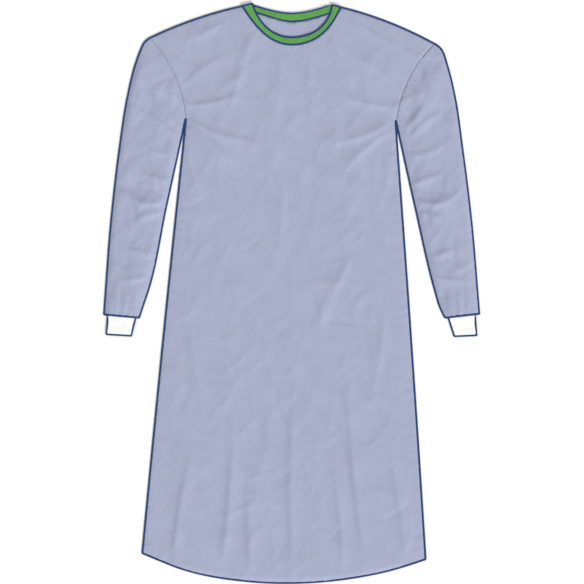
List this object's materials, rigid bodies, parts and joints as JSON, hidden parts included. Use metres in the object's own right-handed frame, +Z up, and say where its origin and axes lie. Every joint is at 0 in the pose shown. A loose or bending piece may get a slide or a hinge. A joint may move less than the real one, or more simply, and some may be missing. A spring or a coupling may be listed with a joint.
{
  "type": "surgical gown laid flat",
  "caption": "Long-sleeved surgical gown laid flat on its back, with a curved hem, bound round neck, rib-knit cuffs and an overlapping open back.",
  "frame": {"origin": "on the surface that the gown lies on, under the middle of its bounding box", "axes": "+Y from the hem to the neck, +X to the wearer's left, +Z up out of the front"},
  "size_m": [0.8244, 1.2717, 0.0084],
  "materials": {
    "cloth": "lavender blue-grey spunbond nonwoven, matt with a faint sheen",
    "knit": "off-white rib knit",
    "tape": "green folded binding tape"
  },
  "bodies": {
    "root": {"front": "cloth", "back_right": "cloth", "back_left": "cloth", "sleeve_left": "cloth", "sleeve_right": "cloth", "cuff_left": "knit", "cuff_right": "knit", "neckband": "tape"}
  },
  "joints": []
}
